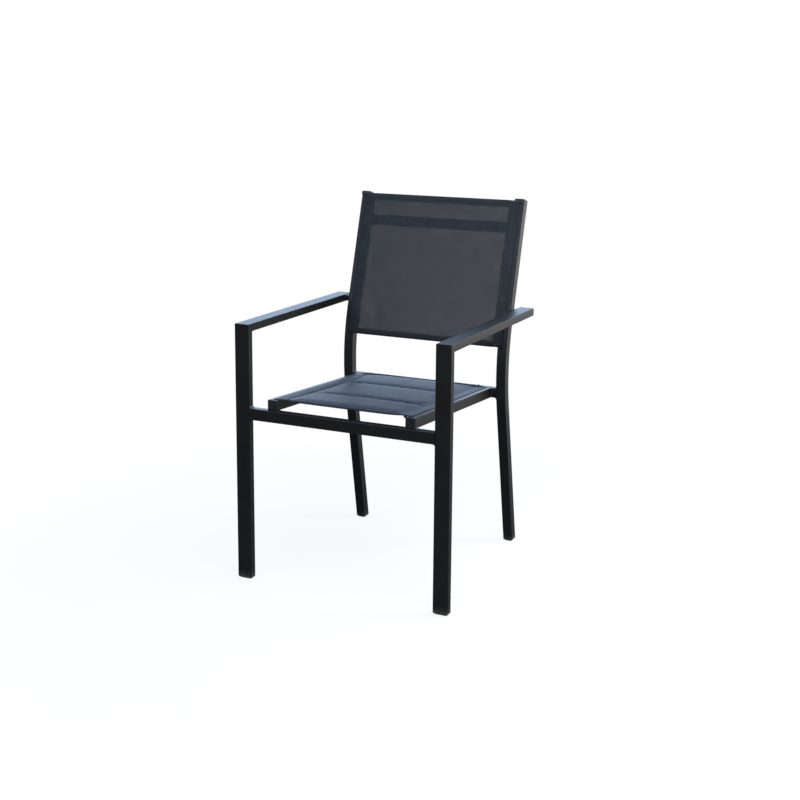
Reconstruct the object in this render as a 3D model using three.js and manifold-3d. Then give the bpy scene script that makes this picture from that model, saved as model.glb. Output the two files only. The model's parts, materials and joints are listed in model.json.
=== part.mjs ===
// A stacking garden armchair in millimetres, +Z up, facing -Y.
// The frame is welded from rectangular tube and from one slotted extrusion. The slots hold the
// corded edges of a mesh back sling and of a padded seat sling. Left is -X, seen from in front.
import * as THREE from "three";
import { mergeVertices } from "three/addons/utils/BufferGeometryUtils.js";
import Module from "manifold-3d";

const wasm = await Module();
wasm.setup();

const degree = Math.PI / 180;

// Overall sizes
const overallWidth = 558; // over the armrests
const armrestHeight = 632; // floor to the top of the armrests
const backHeight = 901.5; // floor to the front edge of the post caps
const backTopSetback = 570.5; // front of the legs to the front edge of the post caps

// Front legs and armrests, the same tube
const legTubeWidth = 38;
const legTubeDepth = 19;
const tubeWall = 1.5;
const tubeCornerRadius = 2;
const armrestOverhang = 11.5; // behind the back posts

// Front crossbar, flush with the front of the legs
const frontCrossbarTop = 429.5; // floor to its top face
const frontCrossbarHeight = 28.5;

// Slotted extrusion of the back posts and the seat rails
const extrusionWidth = 25;
const extrusionDepth = 25;
const extrusionWall = 1.5;
const extrusionCornerRadius = 1.6;
const slotWidth = 3.2;
const slotLip = 2; // thickness of the two lips beside the slot
const boreRadius = 4; // round channel behind the slot

// Back posts, bent once between the reclined back and the splayed rear leg
const reclineAngle = 16.55 * degree;
const splayAngle = 10.65 * degree;
const bendHeight = 488; // floor to where the two straight stretches would meet
const bendRadius = 490; // on the front face

// Spacers between the armrests and the posts
const armSpacerWidth = 11;
const armSpacerHeight = 15;
const armSpacerDepth = 20;

// Back crossbar and rear seat crossbar, the same tube
const rearBarHeight = 25;
const rearBarDepth = 19;
const backCrossbarDrop = 60.5; // top of the posts to the crossbar, along the post
const backCrossbarSetback = 4; // behind the front faces of the posts

// Seat rails
const seatRailGap = 13; // post to rail
const seatSlope = 3.36 * degree; // the seat falls towards the back
const seatRailSetback = 3; // front of the legs to the front of the rail caps

// Slings
const fabricThickness = 0.6;
const sideHemWidth = 27.5; // doubled fabric beside each slot
const backSlingDrop = 4; // top of the posts to the sling, along the post
const backOpening = 104; // rear crossbar to the lower edge of the back sling
const backSlingTopHem = 20;
const backSlingBottomHem = 21;
const seatSlingSetback = 21; // front of the legs to the front edge of the seat sling
const seatSlingRearGap = 1.5; // seat sling to the rear crossbar
const seatPadCrown = 5.5; // how far a channel stands above its seams
const seatPadBelly = 4; // how far it hangs below them

// Caps, glides and filler strips
const capThickness = 2.5;
const capChamfer = 0.8;
const capPlugLength = 16;
const postCapLipLength = 10; // how far the lip hangs down over the corner of the sling
const postCapLipThickness = 1.2;
const glideHeight = 8;
const glideCollar = 3.5; // height of the glide's full section
const glideChamfer = 4.5;
const glidePlugLength = 18;
const plugLeadIn = 1.5; // length of the taper at the inner end of every plug
const fillerEndGap = 3; // filler strip to the lower edge of the back sling

// Clearances
const fitGap = 0.3; // between pieces that seat on or inside each other
const loopGap = 0.5; // round a sling's loop in its channel

// Counts
const cornerSteps = 3;
const boreSteps = 12;
const bendSteps = 12;
const rodSides = 10;
const channelSteps = 6;
const settlingPasses = 6;

// Shares and powers that shape the padded seat
const seamShares = [0, 0.35, 0.71, 1]; // edges and seams of the three channels, front to back
const acrossShares = [-1, -0.94, -0.8, -0.45, 0, 0.45, 0.8, 0.94, 1];
const seamSteepness = 0.6;
const sideSteepness = 0.5;

function finish(color, roughness, metalness) {
  return () => new THREE.MeshStandardMaterial({ color, roughness, metalness });
}
const powderCoat = finish(0x1b1d1f, 0.5, 0.4);
const blackPlastic = finish(0x202122, 0.65, 0);
const backFabric = finish(0x3d4348, 0.85, 0);
const seatFabric = finish(0x5a646f, 0.85, 0);
const kederPlastic = finish(0x18191b, 0.6, 0);

function piece(geometry, material, y = 0, z = 0) {
  const mesh = new THREE.Mesh(geometry, material());
  mesh.position.set(0, y, z);
  return mesh;
}

const alongX = new THREE.Vector3(1, 0, 0);
const alongY = new THREE.Vector3(0, 1, 0);
const alongZ = new THREE.Vector3(0, 0, 1);

// Outlines run counterclockwise.
function arcPoints(centreX, centreY, radius, from, to, steps) {
  return Array.from({ length: steps + 1 }, (_, i) => {
    const angle = from + ((to - from) * i) / steps;
    return new THREE.Vector2(centreX + radius * Math.cos(angle), centreY + radius * Math.sin(angle));
  });
}

function roundedRectangle([left, right, bottom, top], radius) {
  const r = Math.min(radius, (right - left) / 2, (top - bottom) / 2);
  const quarter = Math.PI / 2;
  return [
    ...arcPoints(right - r, bottom + r, r, -quarter, 0, cornerSteps),
    ...arcPoints(right - r, top - r, r, 0, quarter, cornerSteps),
    ...arcPoints(left + r, top - r, r, quarter, 2 * quarter, cornerSteps),
    ...arcPoints(left + r, bottom + r, r, 2 * quarter, 3 * quarter, cornerSteps),
  ];
}

function centredSides(width, height) {
  return [-width / 2, width / 2, -height / 2, height / 2];
}

function inset([left, right, bottom, top], by) {
  return [left + by, right - by, bottom + by, top - by];
}

// Rectangular tube about its own axis. Holes run clockwise.
function tubeProfile(width, height) {
  const sides = centredSides(width, height);
  const hole = roundedRectangle(inset(sides, tubeWall), tubeCornerRadius / 2).reverse();
  return { outline: roundedRectangle(sides, tubeCornerRadius), holes: [hole] };
}

// Straight length of tube along X, with square ends and its middle at the origin.
function straightTube(height, depth, length) {
  const { outline, holes } = tubeProfile(height, depth);
  const shape = new THREE.Shape(outline);
  shape.holes = holes.map((hole) => new THREE.Path(hole));
  const geometry = new THREE.ExtrudeGeometry(shape, { depth: length, bevelEnabled: false });
  return geometry.translate(0, 0, -length / 2).rotateY(Math.PI / 2);
}

// A station places a flat outline in space: its origin, and the vectors that the outline's x and
// y run along. Vectors that aren't square to the way give mitred and level cuts.
function station(x, y, z, across, outward) {
  return { origin: new THREE.Vector3(x, y, z), across, outward };
}

// One closed body through a row of stations. All its outlines have as many points.
function sweep(stations, profileAt) {
  const loopsAt = stations.map((_, i) => {
    const { outline, holes = [] } = profileAt(i);
    return [outline, ...holes];
  });
  const places = stations.flatMap(({ origin, across, outward }, i) =>
    loopsAt[i].flat().flatMap(({ x, y }) =>
      origin.clone().addScaledVector(across, x).addScaledVector(outward, y).toArray(),
    ),
  );
  const perStation = loopsAt[0].flat().length;
  const last = (stations.length - 1) * perStation;
  const faces = [];
  for (let i = 0; i < last; i += perStation) {
    let start = i;
    for (const loop of loopsAt[0]) {
      for (let k = 0; k < loop.length; k++) {
        const here = start + k;
        const next = start + ((k + 1) % loop.length);
        faces.push([here, next, next + perStation], [here, next + perStation, here + perStation]);
      }
      start += loop.length;
    }
  }
  const lidOf = ([outline, ...holes]) => THREE.ShapeUtils.triangulateShape(outline, holes);
  for (const [a, b, c] of lidOf(loopsAt[0])) faces.push([c, b, a]);
  for (const [a, b, c] of lidOf(loopsAt.at(-1))) faces.push([a + last, b + last, c + last]);
  const { origin, across, outward } = stations[0];
  const way = stations[1].origin.clone().sub(origin);
  if (across.clone().cross(outward).dot(way) < 0) faces.forEach((face) => face.reverse());
  const geometry = new THREE.BufferGeometry();
  geometry.setAttribute("position", new THREE.Float32BufferAttribute(places, 3));
  geometry.setIndex(faces.flat());
  geometry.computeVertexNormals();
  return geometry;
}

function toSolid(geometry) {
  const bare = geometry.toNonIndexed();
  bare.deleteAttribute("normal");
  const merged = mergeVertices(bare);
  const vertProperties = merged.attributes.position.array;
  const triVerts = new Uint32Array(merged.index.array);
  return new wasm.Manifold(new wasm.Mesh({ numProp: 3, vertProperties, triVerts }));
}

function join(first, second) {
  const { vertProperties, triVerts } = toSolid(first).add(toSolid(second)).getMesh();
  const geometry = new THREE.BufferGeometry();
  geometry.setAttribute("position", new THREE.BufferAttribute(vertProperties, 3));
  geometry.setIndex(new THREE.BufferAttribute(triVerts, 1));
  geometry.computeVertexNormals();
  return geometry;
}

// Plastic plug-in piece through its rings, which follow each other from the outer face inwards.
function lofted(rings, placeAt) {
  const outlines = rings.map(({ sides, radius }) => roundedRectangle(sides, radius));
  return sweep(rings.map(({ depth }) => placeAt(depth)), (i) => ({ outline: outlines[i] }));
}

// Rings of the plug that runs on from a flange into the bore of a tube.
function plugRings(from, length, sides, radius) {
  return [
    { depth: from, sides, radius },
    { depth: from + length - plugLeadIn, sides, radius },
    { depth: from + length, sides: inset(sides, plugLeadIn / 2), radius },
  ];
}

// Cap whose flange covers the end of a tube.
function capRings(flange, radius, plug) {
  return [
    { depth: 0, sides: inset(flange, capChamfer), radius },
    { depth: capChamfer, sides: flange, radius },
    { depth: capThickness, sides: flange, radius },
    ...plugRings(capThickness, capPlugLength, plug, radius / 2),
  ];
}

// Foot glide, chamfered round its sole.
function glideRings(pad, radius, plug) {
  const top = glideHeight - fitGap;
  return [
    { depth: 0, sides: inset(pad, glideChamfer), radius },
    { depth: glideHeight - glideCollar, sides: pad, radius },
    { depth: top, sides: pad, radius },
    ...plugRings(top, glidePlugLength, plug, radius / 2),
  ];
}

// Slotted extrusion, x across and y outward, with the origin in the middle of its slotted face
const slotEdge = slotWidth / 2;
const boreDepth = slotLip + Math.sqrt(boreRadius ** 2 - slotEdge ** 2); // face to bore centre
const boreWallRadius = boreRadius + extrusionWall;
const extrusionSides = [-extrusionWidth / 2, extrusionWidth / 2, -extrusionDepth, 0];

function extrusionProfile() {
  const body = roundedRectangle(extrusionSides, extrusionCornerRadius);
  const slottedFace = 2 * (cornerSteps + 1); // the outline's place between its two upper corners
  const lipAngle = Math.acos(slotEdge / boreRadius);
  const outline = [
    new THREE.Vector2(-slotEdge, 0),
    ...body.slice(slottedFace),
    ...body.slice(0, slottedFace),
    new THREE.Vector2(slotEdge, 0),
    ...arcPoints(0, -boreDepth, boreRadius, lipAngle, -Math.PI - lipAngle, boreSteps),
  ];
  // the hollow lies behind the bore's wall and on both sides of it
  const [left, right, back, front] = inset(extrusionSides, extrusionWall);
  const hollow = [
    new THREE.Vector2(left, back),
    new THREE.Vector2(right, back),
    new THREE.Vector2(right, front),
    new THREE.Vector2(boreWallRadius, front),
    ...arcPoints(0, -boreDepth, boreWallRadius, 0, -Math.PI, boreSteps / 2),
    new THREE.Vector2(-boreWallRadius, front),
    new THREE.Vector2(left, front),
  ];
  return { outline, holes: [hollow.reverse()] };
}

// Plug that fills the hollow behind the bore's wall.
function hollowPlug() {
  const [left, right, back] = inset(extrusionSides, extrusionWall + fitGap);
  return [left, right, back, -boreDepth - boreWallRadius - fitGap];
}

// Back posts: the front face follows a reclined line, an arc and a splayed line. Distances run
// along the front face, down from the top.
const legCentreX = (overallWidth - legTubeWidth) / 2;
const legInnerX = overallWidth / 2 - legTubeWidth;
const postCentreX = legInnerX - armSpacerWidth - extrusionWidth / 2;
const postInnerX = postCentreX - extrusionWidth / 2;
const bendTangent = bendRadius * Math.tan((reclineAngle + splayAngle) / 2);
const bendStart = (backHeight - bendHeight) / Math.cos(reclineAngle) - bendTangent;
const bendEnd = bendStart + bendRadius * (reclineAngle + splayAngle);

function outwardAt(lean) {
  return new THREE.Vector3(0, -Math.cos(lean), Math.sin(lean));
}

function upwardAt(lean) {
  return new THREE.Vector3(0, Math.sin(lean), Math.cos(lean));
}

const backTop = new THREE.Vector3(0, backTopSetback, backHeight);
const bendTop = backTop.clone().addScaledVector(upwardAt(reclineAngle), -bendStart);
const bendCentre = bendTop.clone().addScaledVector(outwardAt(reclineAngle), -bendRadius);
const bendBottom = bendCentre.clone().addScaledVector(outwardAt(-splayAngle), bendRadius);

// Point on the front face at a distance from the top, and the post's lean there.
function postAt(distance) {
  if (distance <= bendStart) {
    const point = backTop.clone().addScaledVector(upwardAt(reclineAngle), -distance);
    return { point, lean: reclineAngle };
  }
  if (distance >= bendEnd) {
    const point = bendBottom.clone().addScaledVector(upwardAt(-splayAngle), bendEnd - distance);
    return { point, lean: -splayAngle };
  }
  const lean = reclineAngle - (distance - bendStart) / bendRadius;
  return { point: bendCentre.clone().addScaledVector(outwardAt(lean), bendRadius), lean };
}

function distanceAtHeight(height) {
  if (height >= bendTop.z) return (backHeight - height) / Math.cos(reclineAngle);
  if (height <= bendBottom.z) return bendEnd + (bendBottom.z - height) / Math.cos(splayAngle);
  const lean = Math.asin((height - bendCentre.z) / bendRadius);
  return bendStart + (reclineAngle - lean) * bendRadius;
}

// How far back the front face is at a height.
function postFrontAt(height) {
  return postAt(distanceAtHeight(height)).point.y;
}

// Distances of the stations from one place on the post to another, the bend's facets and any
// further marks among them.
function postDistances(from, to, marks = []) {
  const bend = Array.from({ length: bendSteps + 1 }, (_, i) =>
    THREE.MathUtils.lerp(bendStart, bendEnd, i / bendSteps),
  );
  const between = [...bend, ...marks].filter((mark) => mark > from + fitGap && mark < to - fitGap);
  return [from, ...between.sort((a, b) => a - b), to];
}

function postStation(distance) {
  const { point, lean } = postAt(distance);
  return { origin: point, across: alongX, outward: outwardAt(lean) };
}

function followPost(distances, profile) {
  return sweep(distances.map(postStation), () => profile);
}

// Level cut through the splayed leg.
function footStation(height) {
  const { point } = postAt(distanceAtHeight(height));
  return { origin: point, across: alongX, outward: new THREE.Vector3(0, -1 / Math.cos(splayAngle), 0) };
}

// Follows the post from a place on it down to the glide, where it is cut level.
function followPostToFoot(from, profile) {
  const distances = postDistances(from, distanceAtHeight(glideHeight)).slice(0, -1);
  return sweep([...distances.map(postStation), footStation(glideHeight)], () => profile);
}

function backPost() {
  return piece(followPostToFoot(capThickness + fitGap, extrusionProfile()), powderCoat);
}

// The cap's flange reaches out past the sling, and its lip hangs down before the sling's corner.
function postCap() {
  const lipBack = 2 * fitGap + 2 * fabricThickness;
  const lipFront = lipBack + postCapLipThickness;
  const [left, right, back] = extrusionSides;
  const rings = capRings([left, right, back, lipFront], extrusionCornerRadius, hollowPlug());
  const lip = roundedRectangle([left, right, lipBack, lipFront], postCapLipThickness / 2);
  const lipGeometry = followPost([capChamfer, postCapLipLength], { outline: lip });
  return piece(join(lofted(rings, postStation), lipGeometry), blackPlastic);
}

// Filler strip that closes the slot below the sling
function slotFiller() {
  const bulb = boreRadius - fitGap;
  const stem = slotEdge - fitGap;
  const stemAngle = Math.acos(stem / bulb);
  const outline = [
    ...arcPoints(0, -boreDepth, bulb, Math.PI - stemAngle, 2 * Math.PI + stemAngle, boreSteps),
    new THREE.Vector2(stem, -fitGap),
    new THREE.Vector2(-stem, -fitGap),
  ];
  return piece(followPostToFoot(backSlingEnd + fillerEndGap, { outline }), blackPlastic);
}

function rearGlide() {
  const rings = glideRings(extrusionSides, extrusionCornerRadius, hollowPlug());
  return piece(lofted(rings, footStation), blackPlastic);
}

// Front legs and armrests, mitred into each other
const armrestAxis = armrestHeight - legTubeDepth / 2;
const armrestRear =
  postFrontAt(armrestAxis) + extrusionDepth / Math.cos(reclineAngle) + armrestOverhang;
const legTubeSides = centredSides(legTubeWidth, legTubeDepth);

function frontLeg() {
  const profile = tubeProfile(legTubeWidth, legTubeDepth);
  const mitre = new THREE.Vector3(0, 1, -1);
  const ends = [
    station(0, 0, glideHeight, alongX, alongY),
    station(0, 0, armrestAxis - fitGap, alongX, mitre),
  ];
  return piece(sweep(ends, () => profile), powderCoat, legTubeDepth / 2);
}

function armrest() {
  const profile = tubeProfile(legTubeWidth, legTubeDepth);
  const mitre = new THREE.Vector3(0, -1, 1);
  const ends = [
    station(0, legTubeDepth / 2, 0, alongX, mitre),
    station(0, armrestRear - capThickness - fitGap, 0, alongX, alongZ),
  ];
  return piece(sweep(ends, () => profile), powderCoat, 0, armrestAxis);
}

function armrestCap() {
  const plug = inset(legTubeSides, tubeWall + fitGap);
  const rings = capRings(legTubeSides, tubeCornerRadius, plug);
  const geometry = lofted(rings, (depth) => station(0, -depth, 0, alongX, alongZ));
  return piece(geometry, blackPlastic, armrestRear, armrestAxis);
}

function frontGlide() {
  const plug = inset(legTubeSides, tubeWall + fitGap);
  const rings = glideRings(legTubeSides, tubeCornerRadius, plug);
  const geometry = lofted(rings, (height) => station(0, 0, height, alongX, alongY));
  return piece(geometry, blackPlastic, legTubeDepth / 2);
}

function armSpacer() {
  const postMiddle = postFrontAt(armrestAxis) + extrusionDepth / Math.cos(reclineAngle) / 2;
  const geometry = straightTube(armSpacerHeight, armSpacerDepth, armSpacerWidth - 2 * fitGap);
  return piece(geometry, powderCoat, postMiddle, armrestAxis);
}

// Seat rails: they rest on the rear edge of the front crossbar and fall towards the back
const railCentreX = postInnerX - seatRailGap - extrusionWidth / 2;

function railTopAt(y) {
  const restHeight = frontCrossbarTop + fitGap + extrusionDepth / Math.cos(seatSlope);
  return restHeight + (legTubeDepth - y) * Math.tan(seatSlope);
}

// The rear crossbar is flush with the posts' front faces, at the height of the rails' ends.
function findRearBarFront() {
  let y = postFrontAt(frontCrossbarTop);
  for (let pass = 0; pass < settlingPasses; pass++) {
    y = postFrontAt(railTopAt(y) - rearBarHeight / 2);
  }
  return y;
}
const rearBarFront = findRearBarFront();
const backSlingEnd = distanceAtHeight(railTopAt(rearBarFront) + backOpening);
const seatSlingRear = rearBarFront - seatSlingRearGap;

// Upright section of the sloping rail.
function railStation(y) {
  return station(0, y, railTopAt(y), alongX, new THREE.Vector3(0, 0, 1 / Math.cos(seatSlope)));
}

function seatRail() {
  const profile = extrusionProfile();
  const ends = [seatRailSetback + capThickness + fitGap, rearBarFront - fitGap];
  return piece(sweep(ends.map(railStation), () => profile), powderCoat);
}

function seatRailCap() {
  const rings = capRings(extrusionSides, extrusionCornerRadius, hollowPlug());
  return piece(lofted(rings, (depth) => railStation(seatRailSetback + depth)), blackPlastic);
}

// Crossbars
function frontCrossbar() {
  const geometry = straightTube(frontCrossbarHeight, legTubeDepth, 2 * (legInnerX - fitGap));
  return piece(geometry, powderCoat, legTubeDepth / 2, frontCrossbarTop - frontCrossbarHeight / 2);
}

function rearCrossbar() {
  const geometry = straightTube(rearBarHeight, rearBarDepth, 2 * (postInnerX - fitGap));
  const z = railTopAt(rearBarFront) - rearBarHeight / 2;
  return piece(geometry, powderCoat, rearBarFront + rearBarDepth / 2, z);
}

// Leans with the posts, a little behind their front faces
function backCrossbar() {
  const geometry = straightTube(rearBarHeight, rearBarDepth, 2 * (postInnerX - fitGap));
  const { point, lean } = postAt(backCrossbarDrop + rearBarHeight / 2);
  point.addScaledVector(outwardAt(lean), -backCrossbarSetback - rearBarDepth / 2);
  const mesh = piece(geometry, powderCoat, point.y, point.z);
  mesh.rotation.x = -lean;
  return mesh;
}

// Slings: the fabric wraps a rod in each bore, comes out of the slot as a doubled neck and lies
// doubled over the inner half of the slotted face
const loopOuter = boreRadius - loopGap;
const loopInner = loopOuter - fabricThickness;
const hemTop = fitGap + 2 * fabricThickness;

function mirrored(points) {
  return points.map(({ x, y }) => new THREE.Vector2(-x, y)).reverse();
}

// Outline of a sling across the chair. Its middle is given by an upper and a lower edge, both
// from left to right and short of the hems.
function slingProfile(slotX, upperEdge, lowerEdge) {
  const neckAngle = Math.acos(fabricThickness / loopOuter);
  const rightHem = [
    new THREE.Vector2(slotX - fabricThickness, fitGap),
    ...arcPoints(slotX, -boreDepth, loopOuter, Math.PI - neckAngle, 2 * Math.PI + neckAngle, rodSides),
    new THREE.Vector2(slotX + fabricThickness, hemTop),
    new THREE.Vector2(slotX - sideHemWidth, hemTop),
  ];
  const hole = arcPoints(slotX, -boreDepth, loopInner, 2 * Math.PI, 0, rodSides).slice(1);
  const outline = [...lowerEdge, ...rightHem, ...[...upperEdge].reverse(), ...mirrored(rightHem)];
  return { outline, holes: [hole, mirrored(hole)] };
}

// The mesh is doubled in the hems above and below too.
function backSling() {
  const topHemEnd = backSlingDrop + backSlingTopHem;
  const bottomHemStart = backSlingEnd - backSlingBottomHem;
  const hemMarks = [
    topHemEnd,
    topHemEnd + fabricThickness,
    bottomHemStart - fabricThickness,
    bottomHemStart,
  ];
  const distances = postDistances(backSlingDrop, backSlingEnd, hemMarks);
  const middleEdge = postCentreX - sideHemWidth - fabricThickness;
  const profiles = distances.map((distance) => {
    const hemmed = distance <= topHemEnd || distance >= bottomHemStart;
    const top = hemmed ? hemTop : hemTop - fabricThickness;
    const upperEdge = [-middleEdge, middleEdge].map((x) => new THREE.Vector2(x, top));
    return slingProfile(postCentreX, upperEdge, []);
  });
  return piece(sweep(distances.map(postStation), (i) => profiles[i]), backFabric);
}

// Rods that keep the slings in the bores
const kederRadius = loopInner - fitGap;

function kederProfile() {
  return { outline: arcPoints(0, -boreDepth, kederRadius, 0, 2 * Math.PI, rodSides).slice(1) };
}

function backKeder() {
  const distances = postDistances(backSlingDrop + fabricThickness, backSlingEnd - fabricThickness);
  return piece(followPost(distances, kederProfile()), kederPlastic);
}

function seatKeder() {
  const profile = kederProfile();
  const ends = [seatSlingSetback + fabricThickness, seatSlingRear - fabricThickness];
  return piece(sweep(ends.map(railStation), () => profile), kederPlastic);
}

// Padded seat sling: three channels between seams that run from side to side

// Places along the seat from front to back, each with its share of its own channel. They lie
// closest together beside the seams.
function seatPlaces() {
  const places = [{ y: seatSlingSetback, share: 0 }];
  for (let channel = 1; channel < seamShares.length; channel++) {
    for (let step = 1; step <= channelSteps; step++) {
      const share = (1 - Math.cos((Math.PI * step) / channelSteps)) / 2;
      const seatShare = THREE.MathUtils.lerp(seamShares[channel - 1], seamShares[channel], share);
      places.push({ y: THREE.MathUtils.lerp(seatSlingSetback, seatSlingRear, seatShare), share });
    }
  }
  return places;
}

// How much of its full crown a channel has. It rises steeply from its seams and from the side
// hems, and is nearly flat in the middle.
function crownShare(acrossShare, channelShare) {
  const fromSides = Math.max(1 - acrossShare ** 4, 0) ** sideSteepness;
  const fromSeams = Math.max(Math.sin(Math.PI * channelShare), 0) ** seamSteepness;
  return fromSides * fromSeams;
}

function seatSling() {
  const padHalf = railCentreX - sideHemWidth;
  const seam = fitGap + fabricThickness; // middle of the two layers
  const places = seatPlaces();
  const profiles = places.map(({ share }) => {
    const edgeAt = (offset, swell) =>
      acrossShares.map(
        (across) =>
          new THREE.Vector2(across * padHalf, seam + offset + swell * crownShare(across, share)),
      );
    const upperEdge = edgeAt(fabricThickness, seatPadCrown).slice(1, -1);
    return slingProfile(railCentreX, upperEdge, edgeAt(-fabricThickness, -seatPadBelly));
  });
  return piece(sweep(places.map(({ y }) => railStation(y)), (i) => profiles[i]), seatFabric);
}

// Assembly
const chair = new THREE.Group();

function add(name, mesh, parent = chair) {
  mesh.name = name;
  parent.add(mesh);
}

// The same pieces to the left and to the right, at a distance from the middle.
function addPair(distance, makers) {
  for (const [side, sign] of Object.entries({ left: -1, right: 1 })) {
    const group = new THREE.Group();
    group.position.x = sign * distance;
    for (const [name, make] of Object.entries(makers)) add(`${name}_${side}`, make(), group);
    chair.add(group);
  }
}

addPair(legCentreX, {
  front_leg: frontLeg,
  armrest,
  armrest_cap: armrestCap,
  front_glide: frontGlide,
});
addPair(legInnerX - armSpacerWidth / 2, { arm_spacer: armSpacer });
addPair(postCentreX, {
  back_post: backPost,
  post_cap: postCap,
  back_keder: backKeder,
  slot_filler: slotFiller,
  rear_glide: rearGlide,
});
addPair(railCentreX, {
  seat_rail: seatRail,
  seat_rail_cap: seatRailCap,
  seat_keder: seatKeder,
});
add("front_crossbar", frontCrossbar());
add("rear_crossbar", rearCrossbar());
add("back_crossbar", backCrossbar());
add("back_sling", backSling());
add("seat_sling", seatSling());

// The origin is on the floor, midway between the front of the legs and the top of the back
const extent = new THREE.Box3().setFromObject(chair);
chair.position.y = -(extent.min.y + extent.max.y) / 2;

export default chair;
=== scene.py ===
import json
import math

import bmesh
import bpy
from mathutils import Matrix, Vector, noise

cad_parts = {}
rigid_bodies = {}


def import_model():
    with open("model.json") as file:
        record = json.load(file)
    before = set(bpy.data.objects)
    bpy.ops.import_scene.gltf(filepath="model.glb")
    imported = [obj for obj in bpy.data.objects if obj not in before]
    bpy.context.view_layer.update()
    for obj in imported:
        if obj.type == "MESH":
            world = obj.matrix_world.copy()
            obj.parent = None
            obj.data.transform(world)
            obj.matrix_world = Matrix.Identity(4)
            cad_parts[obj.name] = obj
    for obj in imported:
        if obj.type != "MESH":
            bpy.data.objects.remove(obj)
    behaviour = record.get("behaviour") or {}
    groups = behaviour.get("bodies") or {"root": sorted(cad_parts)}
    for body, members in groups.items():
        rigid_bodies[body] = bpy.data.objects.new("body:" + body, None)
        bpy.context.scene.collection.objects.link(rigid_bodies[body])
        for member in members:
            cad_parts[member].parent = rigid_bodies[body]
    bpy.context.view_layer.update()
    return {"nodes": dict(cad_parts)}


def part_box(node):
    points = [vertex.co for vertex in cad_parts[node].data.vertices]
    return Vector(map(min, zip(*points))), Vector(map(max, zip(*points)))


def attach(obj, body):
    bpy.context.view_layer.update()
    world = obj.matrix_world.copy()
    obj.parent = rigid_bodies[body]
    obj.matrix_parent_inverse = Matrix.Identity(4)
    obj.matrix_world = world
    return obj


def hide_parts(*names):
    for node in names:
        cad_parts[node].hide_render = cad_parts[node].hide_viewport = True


for startupObject in list(bpy.data.objects):  # the startup file's cube, lamp and camera
    bpy.data.objects.remove(startupObject)
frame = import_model()
scene = bpy.context.scene
print("frame loaded:", len(frame["nodes"]), "nodes")

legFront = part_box("front_leg_left")[0].y  # the depths of the chair are taken from here


# Camera, set where the photograph was taken from

cameraSettings = {
    "azimuth": 25.364,
    "elevation": 10.976,
    "roll": 0.443,
    "distance": 3.3692,
    "target": (0.03053, 0.260, 0.59912),  # depth from the front of the legs
    "focalPixels": 1382.5,
    "middlePixel": 330.0,  # the row of the picture that the lens looks at
    "pictureWidth": 800.0,
    "sensor": 36.0,
}


def makeCamera():
    c = cameraSettings
    data = bpy.data.cameras.new("camera")
    data.sensor_width = c["sensor"]
    data.lens = c["focalPixels"] / c["pictureWidth"] * c["sensor"]
    data.shift_y = (c["middlePixel"] - c["pictureWidth"] / 2) / c["pictureWidth"]
    made = bpy.data.objects.new("camera", data)
    scene.collection.objects.link(made)
    azimuth, elevation, roll = (math.radians(c[k]) for k in ("azimuth", "elevation", "roll"))
    away = Vector((
        math.sin(azimuth) * math.cos(elevation),
        -math.cos(azimuth) * math.cos(elevation),
        math.sin(elevation),
    ))
    right = Vector((math.cos(azimuth), math.sin(azimuth), 0))
    up = away.cross(right)
    turnedRight = right * math.cos(roll) + up * math.sin(roll)
    turnedUp = up * math.cos(roll) - right * math.sin(roll)
    target = Vector(c["target"]) + Vector((0, legFront, 0))
    place = Matrix((turnedRight, turnedUp, away)).transposed().to_4x4()
    place.translation = target + away * c["distance"]
    made.matrix_world = place
    scene.camera = made


makeCamera()
print("camera set")


# Studio: a pale floor, a white surround and soft lamps

studioSettings = {
    "floorRadius": 7.0,
    "floorSides": 64,
    "floorColor": (0.90, 0.90, 0.90, 1),
    "floorUnder": (0.19, 0.192, 0.194, 1),  # as its light falls on the chair
    "floorWhite": 0.86,  # share of plain white, which keeps the shadow faint
    "shadowReach": (0.55, 1.3),  # metres from the chair over which the shadow fades out
    "whiteFrom": (0.2, 3.6),  # metres behind the chair over which mirrored floor turns white
    "skyColor": (0.58, 0.73, 1.0, 1),
    "hazeColor": (0.80, 0.88, 1.0, 1),
    "haze": (0.0, 0.45),  # rise over which the haze turns to sky
    "skyRise": (0.10, 0.55),
    "skyFoot": 0.1,
    "skyStrength": 0.55,
    "mirroredSky": (0.42, 0.63, 1.0, 1),  # deeper where the chair mirrors it
    "skyShine": 2.0,
    "rearGlow": 1.0,
    "rearSpan": (-0.1, 0.45),  # turn toward the rear over which that glow comes in
    "lamps": {
        "sky": {
            "at": (0.9, -0.3, 2.3), "toward": (0.1, -0.1, 0.5), "size": (2.2, 1.8),
            "power": 30, "color": (0.90, 0.94, 1.0),
        },
        "front": {
            "at": (-0.6, -2.9, 2.0), "toward": (0, 0, 0.6), "size": (3.0, 1.5),
            "power": 21, "color": (0.96, 0.98, 1.0),
        },
        "near": {
            "at": (1.35, -1.15, 1.95), "toward": (0, 0.15, 0.7), "size": (0.9, 0.9),
            "power": 11, "color": (1.0, 0.98, 0.96),
        },
        "side": {
            "at": (1.9, 0.9, 1.45), "toward": (0, 0, 0.75), "size": (0.9, 1.2),
            "power": 34, "color": (1.0, 0.94, 0.86),
        },
        "rear": {
            "at": (-1.9, 3.6, 2.0), "toward": (0, 0, 0.6), "size": (4.4, 3.3),
            "power": 118, "color": (0.57, 0.73, 1.0), "lights": "gloss",
        },
        "back": {
            "at": (-1.9, 3.6, 2.0), "toward": (0, 0, 0.6), "size": (4.4, 3.3),
            "power": 92, "color": (0.93, 0.96, 1.0), "lights": "colour",
        },
        "corner": {
            "at": (1.5, 3.0, 0.72), "toward": (0.2, 0, 0.6), "size": (1.7, 0.95),
            "power": 9, "color": (1.0, 0.97, 0.93),
        },
    },
}


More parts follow.
